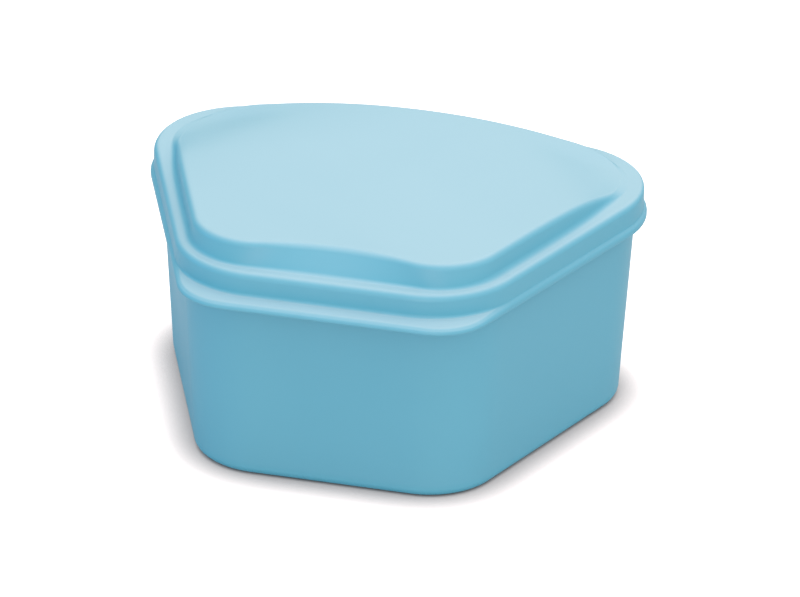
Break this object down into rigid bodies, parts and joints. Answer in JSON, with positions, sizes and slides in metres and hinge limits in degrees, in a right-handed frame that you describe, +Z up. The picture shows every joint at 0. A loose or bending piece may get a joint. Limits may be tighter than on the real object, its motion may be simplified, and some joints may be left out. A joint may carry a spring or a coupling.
{
  "type": "denture case",
  "caption": "Keystone-shaped moulded case for soaking a denture: a deep drafted tub and a lift-off lid with a raised crown, a skirt and a thumb lip.",
  "frame": {"origin": "on the ground, at the middle of the closed case's box", "axes": "+Z up, the way the lid lifts off; -Y towards the narrow side with the thumb lip, which is the front; +X along the wide side, to the right seen from the front"},
  "size_m": [0.0866, 0.069, 0.0433],
  "materials": {
    "case_plastic": "satin moulded plastic in light aqua blue, the same colour right through"
  },
  "bodies": {
    "tub": {"tub": "case_plastic"},
    "lid": {"lid": "case_plastic"}
  },
  "joints": [
    {"name": "lid_lift", "type": "slide", "parent": "tub", "child": "lid", "axis": [0, 0, 1], "range_m": [0, 0.06]}
  ]
}
